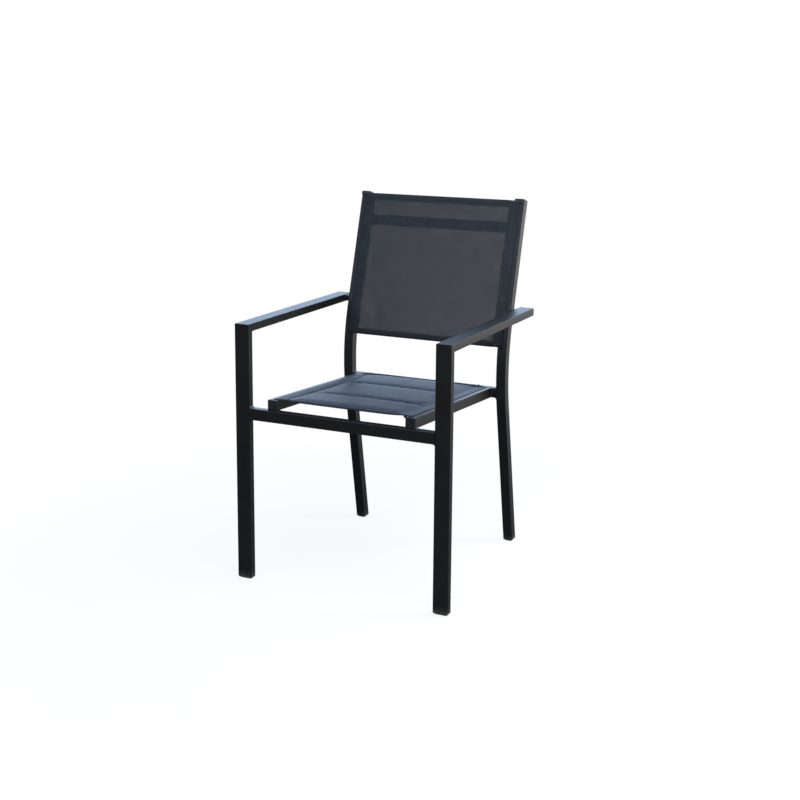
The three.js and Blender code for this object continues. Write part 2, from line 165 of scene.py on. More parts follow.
def node(tree, kind, inputs=None, **settings):
    made = tree.nodes.new(kind)
    for key, value in settings.items():
        setattr(made, key, value)
    for key, value in (inputs or {}).items():
        if isinstance(value, bpy.types.NodeSocket):
            tree.links.new(value, made.inputs[key])
        else:
            made.inputs[key].default_value = value
    return made


def calc(tree, operation, first, second=0.0, third=0.0):
    inputs = {0: first, 1: second, 2: third}
    return node(tree, "ShaderNodeMath", inputs, operation=operation).outputs[0]


def ramp(tree, value, low, high, start=0.0, end=1.0):
    made = node(
        tree, "ShaderNodeMapRange",
        {"Value": value, "From Min": low, "From Max": high, "To Min": start, "To Max": end},
        interpolation_type="SMOOTHSTEP",
    )
    return made.outputs["Result"]


def blended(tree, share, first, second):
    inputs = {0: share, 6: first, 7: second}
    return node(tree, "ShaderNodeMix", inputs, data_type="RGBA").outputs[2]


def placeIn(tree, kind="Object"):
    return node(tree, "ShaderNodeTexCoord").outputs[kind]


def axesOf(tree, place):
    return node(tree, "ShaderNodeSeparateXYZ", {0: place}).outputs


def seenShare(tree):
    path = node(tree, "ShaderNodeLightPath")
    rays = (path.outputs["Is Glossy Ray"], path.outputs["Is Transmission Ray"])
    return path.outputs["Is Camera Ray"], calc(tree, "MAXIMUM", *rays)


def makeWorld():
    s = studioSettings
    world = bpy.data.worlds.new("surround")
    scene.world = world
    world.use_nodes = True
    tree = world.node_tree
    tree.nodes.clear()
    camera, mirrored = seenShare(tree)
    axes = axesOf(tree, placeIn(tree, "Generated"))
    high = ramp(tree, axes["Z"], *s["skyRise"], s["skyFoot"], 1.0)
    behind = calc(tree, "MULTIPLY", ramp(tree, axes["Y"], *s["rearSpan"]), s["rearGlow"])
    shown = calc(tree, "MAXIMUM", calc(tree, "MULTIPLY", high, s["skyShine"]), behind)
    lit = calc(tree, "MULTIPLY", high, s["skyStrength"])
    blue = blended(tree, mirrored, s["skyColor"], s["mirroredSky"])
    color = blended(tree, ramp(tree, axes["Z"], *s["haze"]), s["hazeColor"], blue)
    glow = node(tree, "ShaderNodeMix", {0: mirrored, 2: lit, 3: shown}).outputs[0]
    sky = node(tree, "ShaderNodeBackground", {"Color": color, "Strength": glow})
    white = node(tree, "ShaderNodeBackground", {"Color": (1, 1, 1, 1), "Strength": 1.0})
    mixed = node(tree, "ShaderNodeMixShader", {0: camera, 1: sky.outputs[0], 2: white.outputs[0]})
    node(tree, "ShaderNodeOutputWorld", {0: mixed.outputs[0]})


def makeFloor():
    s = studioSettings
    material = bpy.data.materials.new("pale_floor")
    material.use_nodes = True
    tree = material.node_tree
    tree.nodes.clear()
    camera, mirrored = seenShare(tree)
    place = placeIn(tree)
    reach = node(tree, "ShaderNodeVectorMath", {0: place}, operation="LENGTH").outputs["Value"]
    plain = ramp(tree, reach, *s["shadowReach"], s["floorWhite"], 1.0)
    behind = ramp(tree, axesOf(tree, place)["Y"], *s["whiteFrom"])
    seen = calc(tree, "MAXIMUM", camera, calc(tree, "MULTIPLY", mirrored, behind))
    share = calc(tree, "MULTIPLY", seen, plain)
    color = blended(tree, camera, s["floorUnder"], s["floorColor"])
    matt = node(tree, "ShaderNodeBsdfDiffuse", {"Color": color})
    white = node(tree, "ShaderNodeEmission", {"Color": (1, 1, 1, 1), "Strength": 1.0})
    mixed = node(tree, "ShaderNodeMixShader", {0: share, 1: matt.outputs[0], 2: white.outputs[0]})
    node(tree, "ShaderNodeOutputMaterial", {0: mixed.outputs[0]})
    mesh = bpy.data.meshes.new("studio_floor")
    turns = [math.tau * k / s["floorSides"] for k in range(s["floorSides"])]
    rim = [(math.cos(t) * s["floorRadius"], math.sin(t) * s["floorRadius"], 0) for t in turns]
    mesh.from_pydata(rim, [], [list(range(len(rim)))])
    mesh.materials.append(material)
    floor = bpy.data.objects.new("studio_floor", mesh)
    scene.collection.objects.link(floor)


def makeLamps():
    for name, s in studioSettings["lamps"].items():
        data = bpy.data.lights.new("lamp_" + name, "AREA")
        data.shape = "RECTANGLE"
        data.size, data.size_y = s["size"]
        data.energy = s["power"]
        data.color = s["color"]
        lamp = bpy.data.objects.new("lamp_" + name, data)
        scene.collection.objects.link(lamp)
        lamp.location = s["at"]
        lamp.visible_camera = False
        lamp.visible_diffuse = s.get("lights") != "gloss"
        lamp.visible_glossy = s.get("lights") != "colour"
        aim = Vector(s["toward"]) - Vector(s["at"])
        lamp.rotation_euler = aim.to_track_quat("-Z", "Y").to_euler()


makeWorld()
makeFloor()
makeLamps()
scene.view_settings.view_transform = "Standard"
print("studio made")


# Materials

def newMaterial(name, **sockets):
    material = bpy.data.materials.new(name)
    material.use_nodes = True
    shader = material.node_tree.nodes["Principled BSDF"]
    for key, value in sockets.items():
        shader.inputs[key.replace("_", " ")].default_value = value
    return material, material.node_tree, shader


def link(shader, name, value):
    shader.id_data.links.new(value, shader.inputs[name])


def speckle(tree, place, scale, detail=2.0, roughness=0.5):
    made = node(
        tree, "ShaderNodeTexNoise",
        {"Vector": place, "Scale": scale, "Detail": detail, "Roughness": roughness},
    )
    return made.outputs["Fac"]


def bumped(tree, height, strength, distance, under=None):
    inputs = {"Height": height, "Strength": strength, "Distance": distance}
    if under is not None:
        inputs["Normal"] = under
    return node(tree, "ShaderNodeBump", inputs).outputs["Normal"]


def stretched(tree, place, factors):
    made = node(tree, "ShaderNodeVectorMath", {0: place, 1: factors}, operation="MULTIPLY")
    return made.outputs[0]


def shaded(tree, color, shade):
    made = node(tree, "ShaderNodeVectorMath", {0: color, "Scale": shade}, operation="SCALE")
    return made.outputs[0]


def tinted(color, amounts):
    return [tuple(c * amount for c in color[:3]) + (1,) for amount in amounts]


edgeTurn = (0.995, 0.90)  # cosines of the turn at which the edge wear and the painted edge highlight start and are full


# 0 on the flats of a piece, 1 on the turn of its edges
def edgeShare(tree, radius):
    rounded = node(tree, "ShaderNodeBevel", {"Radius": radius}, samples=4).outputs[0]
    flat = node(tree, "ShaderNodeNewGeometry").outputs["Normal"]
    along = node(tree, "ShaderNodeVectorMath", {0: rounded, 1: flat}, operation="DOT_PRODUCT")
    return ramp(tree, along.outputs["Value"], *edgeTurn)


powderSettings = {
    "color": (0.0092, 0.0092, 0.0084, 1),
    # lighter colour for the edges: partly wear of the coat, partly a painted highlight where the
    # rounded edges catch the light
    "edgeWearAndHighlight": (0.034, 0.034, 0.033, 1),
    "tints": (0.86, 1.14),
    "rough": (0.40, 0.47),
    "shine": 0.29,
    "cloudScale": 14.0,
    "patchScale": 85.0,
    "peelScale": 520.0,
    "grainScale": 1900.0,
    "peelDepth": 0.000004,
    "grainDepth": 0.0000012,
    "edgeRadius": 0.0016,
    "edgeWearAndHighlightShare": 0.3,
    "edgeWearAndHighlightPatches": (0.42, 0.62),
    "dust": (0.115, 0.104, 0.090, 1),
    "dustHeight": 0.024,
    "dustPatches": (0.3, 0.65, 0.25, 0.75),  # range of the noise, and the dust's share there
}
weldCoatSettings = {**powderSettings, "rough": (0.24, 0.32), "shine": 0.5}


def makePowderCoat(name, s):
    material, tree, shader = newMaterial(name, Specular_IOR_Level=s["shine"])
    place = placeIn(tree)
    cloud = speckle(tree, place, s["cloudScale"], 3.0)
    patch = speckle(tree, place, s["patchScale"], 4.0, 0.65)
    base = blended(tree, ramp(tree, cloud, 0.3, 0.7), *tinted(s["color"], s["tints"]))
    patches = ramp(tree, patch, *s["edgeWearAndHighlightPatches"])
    # the edges get a lighter colour: partly wear, partly a painted highlight along them
    edge = calc(tree, "MULTIPLY", edgeShare(tree, s["edgeRadius"]), patches)
    coat = blended(tree, calc(tree, "MULTIPLY", edge, s["edgeWearAndHighlightShare"]), base, s["edgeWearAndHighlight"])
    low = ramp(tree, axesOf(tree, place)["Z"], s["dustHeight"], 0.0)
    dusty = calc(tree, "MULTIPLY", low, ramp(tree, patch, *s["dustPatches"]))
    link(shader, "Base Color", blended(tree, dusty, coat, s["dust"]))
    link(shader, "Roughness", ramp(tree, patch, 0.3, 0.7, *s["rough"]))
    peel = bumped(tree, speckle(tree, place, s["peelScale"], 1.0), 0.5, s["peelDepth"])
    grain = bumped(tree, speckle(tree, place, s["grainScale"], 1.0), 0.5, s["grainDepth"], peel)
    link(shader, "Normal", grain)
    return material


plasticSettings = {
    "moulded_plastic": {
        "color": (0.0125, 0.0130, 0.0136, 1), "rough": (0.46, 0.58),
        "grain": 1300.0, "depth": 0.00003,
    },
    "glide_plastic": {
        "color": (0.0135, 0.0138, 0.0142, 1), "rough": (0.50, 0.68),
        "grain": 900.0, "depth": 0.00004,
    },
    "cord_plastic": {
        "color": (0.0110, 0.0112, 0.0118, 1), "rough": (0.40, 0.50),
        "grain": 700.0, "depth": 0.00002,
    },
}
plasticLook = {"shine": 0.35, "cloudScale": 60.0, "tints": (0.85, 1.25)}
glideDust = {  # scuffs where the chair stands on the ground
    "color": (0.17, 0.155, 0.136, 1),
    "height": (0.013, 0.002),  # from none to all of it
    "scale": 240.0,
    "patches": (0.35, 0.6, 0.35, 1.0),
    "most": 0.8,
}


def makePlastic(name, dust=None):
    s, look = plasticSettings[name], plasticLook
    material, tree, shader = newMaterial(name, Specular_IOR_Level=look["shine"])
    place = placeIn(tree)
    cloud = speckle(tree, place, look["cloudScale"], 4.0, 0.6)
    base = blended(tree, ramp(tree, cloud, 0.35, 0.65), *tinted(s["color"], look["tints"]))
    if dust:
        low = ramp(tree, axesOf(tree, place)["Z"], *dust["height"])
        patches = ramp(tree, speckle(tree, place, dust["scale"], 5.0), *dust["patches"])
        share = calc(tree, "MULTIPLY", calc(tree, "MULTIPLY", low, patches), dust["most"])
        base = blended(tree, share, base, dust["color"])
    link(shader, "Base Color", base)
    link(shader, "Roughness", ramp(tree, cloud, 0.3, 0.7, *s["rough"]))
    bump = bumped(tree, speckle(tree, place, s["grain"], 2.0), 0.5, s["depth"])
    link(shader, "Normal", bump)
    return material


# Two coated yarns of a plain weave. Their heights rise and fall as they pass over and under
# each other, and between four crossings there is a hole.
def weave(tree, across, along, pitch, gap):
    u = calc(tree, "DIVIDE", across, pitch)
    v = calc(tree, "DIVIDE", along, pitch)
    crown = [
        calc(tree, "ABSOLUTE", calc(tree, "SINE", calc(tree, "MULTIPLY", turn, math.pi)))
        for turn in (u, v)
    ]
    both = calc(tree, "ADD", calc(tree, "FLOOR", u), calc(tree, "FLOOR", v))
    odd = calc(tree, "PINGPONG", both, 1.0)
    sign = calc(tree, "SUBTRACT", calc(tree, "MULTIPLY", odd, 2.0), 1.0)
    over = [
        calc(tree, "MULTIPLY_ADD", calc(tree, "MULTIPLY", wave, sign), side * 0.5, 0.5)
        for wave, side in ((crown[1], 1), (crown[0], -1))
    ]
    height = [
        calc(tree, "MULTIPLY", calc(tree, "SQRT", thick), lift)
        for thick, lift in zip(crown, over)
    ]
    top = calc(tree, "MAXIMUM", *height)
    warpOnTop = calc(tree, "GREATER_THAN", height[0], height[1])
    thin = calc(tree, "MAXIMUM", *crown)
    hole = None if gap is None else calc(tree, "LESS_THAN", thin, gap)
    return top, warpOnTop, hole


mottleWaves = (  # stretches of the noise, and their shares of the amount
    ((900, 9, 9), 1.0),
    ((9, 900, 9), 0.8),
    ((26, 150, 20), 0.9),
    ((130, 22, 20), 0.6),
    ((11, 11, 11), 0.5),
)


# Threads differ a little from each other, and along their length
def mottled(tree, flat, amount):
    shade = 1.0
    for stretch, part in mottleWaves:
        wave = speckle(tree, stretched(tree, flat, stretch), 1.0, 2.0)
        change = ramp(tree, wave, 0.25, 0.75, -amount * part, amount * part)
        shade = calc(tree, "ADD", shade, change)
    return shade


# Two colours of yarn, with painted shade where they dip between each other and a painted highlight
# on their crowns, and the relief of their weave
def dressWeave(tree, shader, s, place, top, warpOnTop):
    yarn = blended(tree, warpOnTop, s["weft"], s["warp"])
    # painted shade in the dips between the yarns, painted highlight on their crowns
    deep = ramp(tree, top, 0.0, 0.8, *s["paintedShadeAndHighlight"])
    shade = calc(tree, "MULTIPLY", mottled(tree, place, s["mottle"]), deep)
    link(shader, "Base Color", shaded(tree, yarn, shade))
    link(shader, "Normal", bumped(tree, top, s["relief"], s["depth"]))


clothSheen = {"Sheen_Roughness": 0.4, "Sheen_Tint": (0.85, 0.92, 1.0, 1)}
meshFabricSettings = {
    "warp": (0.0233, 0.0272, 0.0296, 1),
    "weft": (0.0187, 0.0224, 0.0249, 1),
    "rough": 0.55,
    "shine": 0.2,
    "sheen": 0.08,
    "pitch": 0.00125,
    "gap": 0.455,
    "crowding": 0.030,  # how much the yarns crowd here and there
    "crowdWaves": ((34, 210, 20), (190, 30, 20)),
    "mottle": 0.15,
    # painted shade between the yarns and painted highlight on their crowns
    "paintedShadeAndHighlight": (0.45, 1.12),
    "relief": 0.6,
    "depth": 0.0002,
}


def makeMeshFabric():
    s = meshFabricSettings
    material, tree, shader = newMaterial(
        "sling_mesh", Roughness=s["rough"], Specular_IOR_Level=s["shine"],
        Sheen_Weight=s["sheen"], **clothSheen,
    )
    flat = node(tree, "ShaderNodeUVMap", uv_map="weave").outputs["UV"]
    axes = axesOf(tree, flat)
    gap = s["gap"]
    for stretch in s["crowdWaves"]:
        wave = speckle(tree, stretched(tree, flat, stretch), 1.0, 3.0)
        gap = calc(tree, "ADD", gap, ramp(tree, wave, 0.3, 0.7, -s["crowding"], s["crowding"]))
    top, warpOnTop, hole = weave(tree, axes["X"], axes["Y"], s["pitch"], gap)
    dressWeave(tree, shader, s, flat, top, warpOnTop)
    link(shader, "Alpha", calc(tree, "SUBTRACT", 1.0, hole))
    return material


seatFabricSettings = {
    "warp": (0.033, 0.0405, 0.052, 1),
    "weft": (0.026, 0.0325, 0.043, 1),
    "rough": 0.51,
    "shine": 0.050,
    "sheen": 0.04,
    "pitch": 0.00115,
    "mottle": 0.10,
    # painted shade between the yarns and painted highlight on their crowns
    "paintedShadeAndHighlight": (0.55, 1.1),
    "relief": 0.5,
    "depth": 0.0002,
}


def makeSeatFabric():
    s = seatFabricSettings
    material, tree, shader = newMaterial(
        "seat_weave", Roughness=s["rough"], Specular_IOR_Level=s["shine"],
        Sheen_Weight=s["sheen"], **clothSheen,
    )
    place = placeIn(tree)
    axes = axesOf(tree, place)
    top, warpOnTop, _ = weave(tree, axes["X"], axes["Y"], s["pitch"], None)
    dressWeave(tree, shader, s, place, top, warpOnTop)
    return material


threadSettings = {
    "rough": 0.45,
    "shine": 0.4,
    "twistScale": 900.0,
    "depth": 0.0001,
    "back_thread": ((0.006, 0.007, 0.009, 1), (0.016, 0.018, 0.021, 1)),
    "seat_thread": ((0.030, 0.036, 0.045, 1), (0.056, 0.066, 0.082, 1)),
}


def makeThread(name):
    s = threadSettings
    material, tree, shader = newMaterial(name, Specular_IOR_Level=s["shine"], Roughness=s["rough"])
    twist = node(
        tree, "ShaderNodeTexWave",
        {"Vector": placeIn(tree), "Scale": s["twistScale"], "Distortion": 2.0},
        wave_type="BANDS", bands_direction="DIAGONAL",
    ).outputs["Fac"]
    link(shader, "Base Color", blended(tree, twist, *s[name]))
    link(shader, "Normal", bumped(tree, twist, 0.4, s["depth"]))
    return material


powderCoat = makePowderCoat("powder_coat", powderSettings)
weldCoat = makePowderCoat("weld_coat", weldCoatSettings)
mouldedPlastic = makePlastic("moulded_plastic")
glidePlastic = makePlastic("glide_plastic", glideDust)
cordPlastic = makePlastic("cord_plastic")
meshFabric = makeMeshFabric()
seatFabric = makeSeatFabric()
darkThread = makeThread("back_thread")
seatThread = makeThread("seat_thread")
print("materials made")


# Frame pieces: the solids keep their shape, get their finish and are shaded round their corners

finishes = {
    "front_leg": powderCoat, "armrest": powderCoat, "arm_spacer": powderCoat,
    "back_post": powderCoat, "seat_rail": powderCoat, "front_crossbar": powderCoat,
    "rear_crossbar": powderCoat, "back_crossbar": powderCoat, "armrest_cap": mouldedPlastic,
    "post_cap": mouldedPlastic, "seat_rail_cap": mouldedPlastic, "slot_filler": cordPlastic,
    "front_glide": glidePlastic, "rear_glide": glidePlastic, "back_keder": cordPlastic,
    "seat_keder": cordPlastic,
}
cornerSettings = {
    "join": 0.000005,  # points this close are one
    "gentle": math.radians(38),  # an edge that turns less is shaded smooth
}


def makeSoftCorners():
    s = cornerSettings
    group = bpy.data.node_groups.new("soft_corners", "GeometryNodeTree")
    for way in ("INPUT", "OUTPUT"):
        group.interface.new_socket("Geometry", in_out=way, socket_type="NodeSocketGeometry")

    def step(kind, inputs, **settings):
        return node(group, kind, inputs, **settings).outputs[0]

    start = node(group, "NodeGroupInput").outputs[0]
    bare = step("GeometryNodeRemoveAttribute", {0: start, "Name": "custom_normal"})
    whole = step("GeometryNodeMergeByDistance", {0: bare, "Distance": s["join"]})
    faces = step("GeometryNodeSetShadeSmooth", {0: whole, "Shade Smooth": True}, domain="FACE")
    turn = node(group, "GeometryNodeInputMeshEdgeAngle").outputs["Unsigned Angle"]
    gentle = step("FunctionNodeCompare", {0: turn, 1: s["gentle"]}, operation="LESS_THAN")
    edges = step("GeometryNodeSetShadeSmooth", {0: faces, "Shade Smooth": gentle}, domain="EDGE")
    node(group, "NodeGroupOutput", {0: edges})
    return group


softCorners = makeSoftCorners()
for name, solid in frame["nodes"].items():
    kind = name.removesuffix("_left").removesuffix("_right")
    if kind in finishes:
        solid.data.materials[0] = finishes[kind]
        solid.modifiers.new("soft_corners", "NODES").node_group = softCorners
        weighted = solid.modifiers.new("level_flats", "WEIGHTED_NORMAL")
        weighted.keep_sharp = True
print("frame pieces finished")


# Shapes shared by the slings: the front faces of the posts and the tops of the rails

postSettings = {
    "recline": math.radians(16.55),
    "splay": math.radians(10.65),
    "bendHeight": 0.488,
    "bendRadius": 0.490,
    "top": (0.5705, 0.9015),  # depth and height of the front edge of the caps
    "slotX": 0.2175,
}
railSettings = {
    "slope": math.radians(3.36),
    "rest": 0.4298,  # height of the underside at the back of the front crossbar
    "depth": 0.025,
    "legDepth": 0.019,
    "slotX": 0.1795,
}


def outwardAt(lean):
    return Vector((0, -math.cos(lean), math.sin(lean)))


def upwardAt(lean):
    return Vector((0, math.sin(lean), math.cos(lean)))


def postPath():
    s = postSettings
    tangent = s["bendRadius"] * math.tan((s["recline"] + s["splay"]) / 2)
    start = (s["top"][1] - s["bendHeight"]) / math.cos(s["recline"]) - tangent
    end = start + s["bendRadius"] * (s["recline"] + s["splay"])
    top = Vector((0, s["top"][0] + legFront, s["top"][1]))
    bendTop = top - upwardAt(s["recline"]) * start
    centre = bendTop - outwardAt(s["recline"]) * s["bendRadius"]

    def place(distance, x=0.0, offset=0.0):
        if distance <= start:
            lean, point = s["recline"], top - upwardAt(s["recline"]) * distance
        elif distance <= end:
            lean = s["recline"] - (distance - start) / s["bendRadius"]
            point = centre + outwardAt(lean) * s["bendRadius"]
        else:
            lean = -s["splay"]
            point = centre + outwardAt(lean) * s["bendRadius"] - upwardAt(lean) * (distance - end)
        return point + outwardAt(lean) * offset + Vector((x, 0, 0))

    return place


def railPlace(depth, x=0.0, offset=0.0):
    s = railSettings
    rise = (s["legDepth"] - depth) * math.tan(s["slope"])
    top = s["rest"] + s["depth"] / math.cos(s["slope"]) + rise
    return Vector((x, depth + legFront, top + offset / math.cos(s["slope"])))


postPlace = postPath()
hemSettings = {
    "width": 0.0275,  # doubled fabric beside each slot
    "face": 0.0012,  # middle of the outer layer over the metal
    "under": 0.0006,  # middle of the layer turned back
    "neck": 0.0003,
    "bend": 0.0003,
    "boreDepth": 0.005666,
    "loop": 0.0032,
    "thickness": 0.00052,
    "lip": 0.0095,  # metal between the slot and the open span
    "bendPoints": 4,
    "loopPoints": 15,
}


# The right half of a sling across the chair, from where its plain middle ends: over the slot,
# round the rod and back under itself. Points are (x, offset).
def hemOutline(slotX):
    s = hemSettings
    neckTurn = math.acos(s["neck"] / s["loop"])
    whole = 2 * math.pi - 2 * (math.pi / 2 - neckTurn)
    lastBend, lastLoop = s["bendPoints"] - 1, s["loopPoints"] - 1

    def bend(x, level, turn):
        centre = level - s["bend"]
        return x - s["bend"] + s["bend"] * math.cos(turn), centre + s["bend"] * math.sin(turn)

    points = []
    for k in range(s["bendPoints"]):  # over the edge of the slot
        points.append(bend(slotX + s["neck"], s["face"], math.pi / 2 * (1 - k / lastBend)))
    for k in range(s["loopPoints"]):
        turn = neckTurn - whole * k / lastLoop
        x = slotX + s["loop"] * math.cos(turn)
        points.append((x, -s["boreDepth"] + s["loop"] * math.sin(turn)))
    for k in range(s["bendPoints"]):
        points.append(bend(slotX - s["neck"], s["under"], math.pi / 2 * k / lastBend))
    return points + [(slotX - s["lip"], s["under"]), (slotX - s["width"], s["under"])]


def lengths(points):
    total, found = 0.0, [0.0]
    for (ax, ay), (bx, by) in zip(points, points[1:]):
        total += math.hypot(bx - ax, by - ay)
        found.append(total)
    return found


def makeSmooth(mesh):
    for polygon in mesh.polygons:
        polygon.use_smooth = True


def meshOf(name, points, faces):
    mesh = bpy.data.meshes.new(name)
    mesh.from_pydata([tuple(p) for p in points], [], faces)
    makeSmooth(mesh)
    return mesh


# The faces between rows of a sheet, whose points lie width to a row
def gridFaces(width, height):
    return [
        (r * width + c, r * width + c + 1, (r + 1) * width + c + 1, (r + 1) * width + c)
        for r in range(height - 1)
        for c in range(width - 1)
    ]


# The faces round a tube, whose points lie count to a ring
def tubeFaces(count, rings, first=0):
    faces = []
    for r in range(rings - 1):
        for k in range(count):
            a, b = first + r * count + k, first + r * count + (k + 1) % count
            faces.append((a, b, b + count, a + count))
    return faces


def addPiece(name, mesh, material):
    piece = bpy.data.objects.new(name, mesh)
    scene.collection.objects.link(piece)
    mesh.materials.append(material)
    return piece


# Back sling: one layer of open mesh, turned back on all four sides

backSettings = {
    "top": 0.0048,  # distances down the posts
    "bottom": 0.3813,
    "topHem": 0.0182,
    "bottomHem": 0.0145,
    "columns": 44,
    "rowStep": 0.0065,
    "foldRows": 4,
    "foldGrowth": 0.0003,  # metres of cloth that each row of a fold takes up
    "slack": 0.0007,
    "flat": (0.539, 0.4102),
}


def backSlack(x, share):
    s = backSettings
    half = postSettings["slotX"] - hemSettings["width"]
    inside = max(0.0, 1 - (x / half) ** 2) * math.sin(math.pi * share)
    return -s["slack"] * inside * (1 + noise.noise(Vector((x * 9, share * 4, 0.3))))


def makeBackSling():
    s, h = backSettings, hemSettings
    half = postSettings["slotX"] - h["width"]
    side = hemOutline(postSettings["slotX"])
    run = lengths([(half, h["face"])] + side)
    across = [(-x, z, -half - r) for (x, z), r in zip(side[::-1], run[:0:-1])]
    firstPlain = len(across)
    for k in range(s["columns"] + 1):
        x = -half + 2 * half * k / s["columns"]
        across.append((x, h["face"], x))
    across += [(x, z, half + r) for (x, z), r in zip(side, run[1:])]
    width = len(across)
    count = round((s["bottom"] - s["top"]) / s["rowStep"])
    rows, flats = [], []

    # a row down the posts, at its own levels or turned back at one level
    def addRow(distance, turned=None, flat=None):
        share = (distance - s["top"]) / (s["bottom"] - s["top"])
        for x, offset, u in across:
            level = offset if turned is None else turned
            if abs(x) < half:
                level += backSlack(x, share)
            rows.append(postPlace(distance, x, level))
            flats.append((u, distance if flat is None else flat))

    for k in range(count + 1):
        addRow(s["top"] + (s["bottom"] - s["top"]) * k / count)
    faces = gridFaces(width, count + 1)
    plain = range(firstPlain, firstPlain + s["columns"])
    middleLevel = (h["face"] + h["under"]) / 2
    for edge, away, hem in ((s["top"], -1, s["topHem"]), (s["bottom"], 1, s["bottomHem"])):
        last = 0 if away < 0 else count
        folded = [(edge + away * (h["face"] - h["under"]) / 2, middleLevel)]
        for k in range(s["foldRows"] + 1):
            folded.append((edge - away * hem * k / s["foldRows"], h["under"]))
        run = previous = edge
        for distance, level in folded:
            run += away * abs(distance - previous) + away * s["foldGrowth"]
            previous = distance
            addRow(distance, level, run)
            here = len(rows) // width - 1
            for c in plain:
                a, b = last * width + c, here * width + c
                faces.append((a, a + 1, b + 1, b) if away > 0 else (b, b + 1, a + 1, a))
            last = here
    mesh = meshOf("back_sling_cloth", rows, faces)
    layer = mesh.uv_layers.new(name="weave")
    for loop in mesh.loops:
        layer.data[loop.index].uv = flats[loop.vertex_index]
    piece = addPiece("back_sling_cloth", mesh, meshFabric)
    removeLoose(mesh)
    thick = piece.modifiers.new("thickness", "SOLIDIFY")
    thick.thickness = h["thickness"]
    thick.offset = 0
    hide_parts("back_sling")
    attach(piece, "root")
    return piece


def removeLoose(mesh):
    work = bmesh.new()
    work.from_mesh(mesh)
    for vertex in [v for v in work.verts if not v.link_faces]:
        work.verts.remove(vertex)
    work.to_mesh(mesh)
    work.free()


backCloth = makeBackSling()
print("back sling made")


# Seat sling

seatSettings = {
    "front": 0.014,
    "rear": 0.4617,
    "frontHem": 0.009,  # the folded edges in front of and behind the padding
    "rearHem": 0.008,
    "seams": (0.1440, 0.3180),  # from the front edge
    # of each channel's front and rear half: 2 is round, more is flat with a round end
    "flatness": ((7.0, 3.4), (3.8, 3.4), (2.1, 2.0)),
    "endFlatness": 3.0,
    "sag": 0.0044,  # how far the middle hangs below the rails
    "crown": 0.0048,
    "belly": 0.0032,
    "step": 0.0022,  # how steeply the padding starts beside a seam, and over what length
    "stepLength": 0.0013,
    "hemTop": (0.0030, 0.0040),  # thickness that the front and rear folds add
    "hemUnder": (0.0014, 0.0018),
    "hemEnds": 12,  # the greater, the squarer their ends beside the bands
    "droop": (0.0020, 0.0),  # how far their edges hang down
    "droopEnds": 6,
    "columns": 58,
    "spread": (0.6, 0.4),  # shares of columns crowding to the sides, and of even ones
    "channelRows": 20,
    "hemRows": 8,
    "nearRows": (0.0007, 0.0015, 0.0025, 0.004),
    "held": 0.0045,  # metres beside a seam that the stitches hold down
    "heldSide": 0.985,  # share of the half width beyond which the bands do
    "most": 0.0018,  # how far the padding may push the cloth from its first shape
    "calm": 0.2,  # share of the half width beside the bands where it pushes less
}


def seatSeams():
    s = seatSettings
    length = s["rear"] - s["front"]
    return [s["frontHem"], *s["seams"], length - s["rearHem"]]


# Distances from the front edge of the pad to its rows of points
def seatRows():
    s = seatSettings
    length = s["rear"] - s["front"]
    seams = seatSeams()
    found = set()
    for first, second in zip(seams, seams[1:]):
        for k in range(s["channelRows"] + 1):
            found.add(round(first + (second - first) * k / s["channelRows"], 6))
        for near in s["nearRows"]:
            found |= {round(first + near, 6), round(second - near, 6)}
    for k in range(s["hemRows"] + 1):
        turn = (1 - math.cos(math.pi * k / s["hemRows"])) / 2
        found |= {round(s["frontHem"] * turn, 6), round(length - s["rearHem"] * turn, 6)}
    return sorted(found)


def padLevel(across, run, swell, step, hems):
    s = seatSettings
    seams = seatSeams()
    length = s["rear"] - s["front"]
    folds = zip(hems, s["droop"], (s["frontHem"], s["rearHem"]), (run, length - run))
    for hem, droop, width, edge in folds:
        if edge < width:
            fold = math.sqrt(max(0.0, 1 - (2 * edge / width - 1) ** 2))
            hang = droop * (1 - edge / width) ** 1.5 * max(1 - abs(across) ** s["droopEnds"], 0)
            return hem * fold * max(1 - abs(across) ** s["hemEnds"], 0) - hang
    channel = next(k for k, seam in enumerate(seams[1:]) if run <= seam + 0.000001)
    first, second = seams[channel], seams[channel + 1]
    near = max(0.0, min(run - first, second - run))
    share = 2 * (run - first) / (second - first) - 1
    middle = 1 - abs(share) ** s["flatness"][channel][share > 0]
    rise = step * (1 - math.exp(-near / s["stepLength"])) + (swell - step) * max(0.0, middle)
    return rise * max(1 - abs(across) ** s["endFlatness"], 0)


# The seat hangs a little between its rails, and the bands beside the pad lead down to it
def seatPlace(depth, x=0.0, offset=0.0):
    s = seatSettings
    span = railSettings["slotX"] - hemSettings["lip"]
    pad = railSettings["slotX"] - hemSettings["width"]
    share = max(0.0, min(1.0, (span - abs(x)) / (span - pad)))
    along = max(0.0, min(1.0, (depth - s["front"]) / (s["rear"] - s["front"])))
    return railPlace(depth, x, offset - s["sag"] * share * math.sin(math.pi * along))


# The faces round a strip of cloth that has both its sides, with its two ends closed
def ribbonFaces(count, rows):
    faces = tubeFaces(count, rows)
    half = count // 2
    for start in (0, (rows - 1) * count):
        for k in range(half - 1):
            quad = [start + k, start + k + 1, start + count - 2 - k, start + count - 1 - k]
            faces.append(tuple(quad if start else reversed(quad)))
    return faces


# Both sides of a bent strip of cloth, from its middle line
def ribbonLoop(line, thickness):
    sides = ([], [])
    for k, (x, z) in enumerate(line):
        ax, az = line[max(k - 1, 0)]
        bx, bz = line[min(k + 1, len(line) - 1)]
        length = math.hypot(bx - ax, bz - az)
        nx, nz = -(bz - az) / length * thickness / 2, (bx - ax) / length * thickness / 2
        sides[0].append((x + nx, z + nz))
        sides[1].append((x - nx, z - nz))
    return sides[0] + sides[1][::-1]


